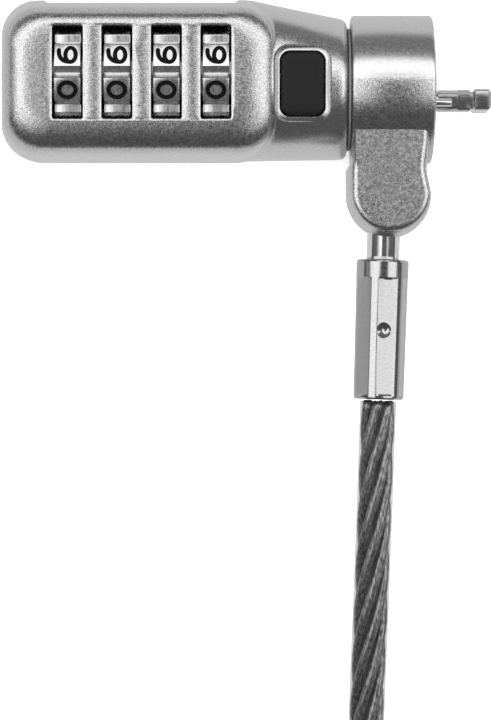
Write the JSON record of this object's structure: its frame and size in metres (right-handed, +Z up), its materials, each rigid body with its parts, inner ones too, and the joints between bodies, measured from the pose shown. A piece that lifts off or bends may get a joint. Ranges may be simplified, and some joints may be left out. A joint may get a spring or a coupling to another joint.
{
  "type": "laptop cable lock",
  "caption": "Combination laptop cable lock with number dials, a push button, a swivel collar, a T-bar and a coiled steel cable ending in an eye.",
  "frame": {"origin": "on the surface the lock lies on, under the middle of the lock without its cable", "axes": "+X from the dial body towards the T-bar, +Y away from the cable, +Z up out of the dial windows"},
  "size_m": [0.09, 0.1821, 0.0227],
  "materials": {
    "cast_body": "fine blasted satin nickel over die-cast zinc",
    "cast_cover": "satin nickel over die-cast zinc",
    "dial_nickel": "polished nickel with black engraved numbers",
    "brass": "machined brass",
    "steel": "machined steel",
    "spring_steel": "drawn spring steel",
    "t_bar_steel": "polished hardened steel",
    "pin_chrome": "mirror polished",
    "ferrule_nickel": "nickel plated, with long crimp flats",
    "button_plastic": "fine matte black",
    "washer_plastic": "plain black nylon",
    "cable_jacket": "smoke-clear vinyl over twisted steel strands",
    "sleeve_aluminium": "pressed double-barrel sleeve",
    "tie_fabric": "woven hook-and-loop strap"
  },
  "bodies": {
    "housing": {"body_shell": "cast_body", "back_cover": "cast_cover", "cover_screw_1": "steel", "cover_screw_2": "steel", "bearing_plate_left": "steel", "bearing_plate_right": "steel", "spacer_washer_1": "steel", "spacer_washer_2": "steel", "spacer_washer_3": "steel", "spindle_spring": "spring_steel", "detent_spring": "spring_steel", "button_spring": "spring_steel", "nose_barrel": "steel", "collar_washer": "washer_plastic", "retaining_ring": "spring_steel", "nose_cap": "cast_body", "guide_pin_1": "steel", "guide_pin_2": "steel"},
    "reset_screw": {"reset_screw": "brass"},
    "button": {"button_cap": "button_plastic", "button_rack": "steel"},
    "t_bar": {"t_bar": "t_bar_steel", "drive_pinion": "brass", "shaft_clip": "steel"},
    "spindle": {"spindle": "steel"},
    "collar": {"collar": "cast_body"},
    "cable_end": {"swivel_pin": "pin_chrome", "ferrule": "ferrule_nickel", "cable": "cable_jacket", "cable_coil": "cable_jacket", "cable_eye": "cable_jacket", "eye_sleeve": "sleeve_aluminium", "coil_tie_1": "tie_fabric", "coil_tie_2": "tie_fabric"},
    "dial_1": {"dial_ring_1": "dial_nickel", "clutch_sleeve_1": "steel"},
    "dial_2": {"dial_ring_2": "dial_nickel", "clutch_sleeve_2": "steel"},
    "dial_3": {"dial_ring_3": "dial_nickel", "clutch_sleeve_3": "steel"},
    "dial_4": {"dial_ring_4": "dial_nickel", "clutch_sleeve_4": "steel"}
  },
  "joints": [
    {"name": "dial_1_spin", "type": "hinge", "parent": "housing", "child": "dial_1", "pos_m": [-0.02429, 0.01677, 0.0149], "axis": [1, 0, 0], "continuous": true},
    {"name": "dial_2_spin", "type": "hinge", "parent": "housing", "child": "dial_2", "pos_m": [-0.01755, 0.01677, 0.0149], "axis": [1, 0, 0], "continuous": true},
    {"name": "dial_3_spin", "type": "hinge", "parent": "housing", "child": "dial_3", "pos_m": [-0.01082, 0.01677, 0.0149], "axis": [1, 0, 0], "continuous": true},
    {"name": "dial_4_spin", "type": "hinge", "parent": "housing", "child": "dial_4", "pos_m": [-0.00408, 0.01677, 0.0149], "axis": [1, 0, 0], "continuous": true},
    {"name": "button_press", "type": "slide", "parent": "housing", "child": "button", "axis": [0, 0, -1], "range_m": [0, 0.0033], "stiffness_N_per_m": 250, "springref_m": -0.002, "deforming": ["button_spring"]},
    {"name": "t_bar_turn", "type": "hinge", "parent": "housing", "child": "t_bar", "pos_m": [0.02585, 0.01389, 0.0107], "axis": [-1, 0, 0], "range_deg": [0, 90]},
    {"name": "spindle_shift", "type": "slide", "parent": "housing", "child": "spindle", "axis": [-1, 0, 0], "range_m": [0, 0.0008]},
    {"name": "reset_screw_turn", "type": "hinge", "parent": "housing", "child": "reset_screw", "pos_m": [-0.03275, 0.01677, 0.0149], "axis": [1, 0, 0], "range_deg": [0, 90]},
    {"name": "collar_swivel", "type": "hinge", "parent": "housing", "child": "collar", "pos_m": [0.02025, 0.01547, 0.0107], "axis": [1, 0, 0], "continuous": true},
    {"name": "cable_swivel", "type": "hinge", "parent": "collar", "child": "cable_end", "pos_m": [0.01925, -0.00523, 0.0107], "axis": [-0.0314, -0.9995, 0], "continuous": true}
  ],
  "couplings": [
    {"joint": "t_bar_turn", "follows": "button_press", "rad_per_m": 475.99},
    {"joint": "spindle_shift", "follows": "button_press", "ratio": 0.2424}
  ]
}
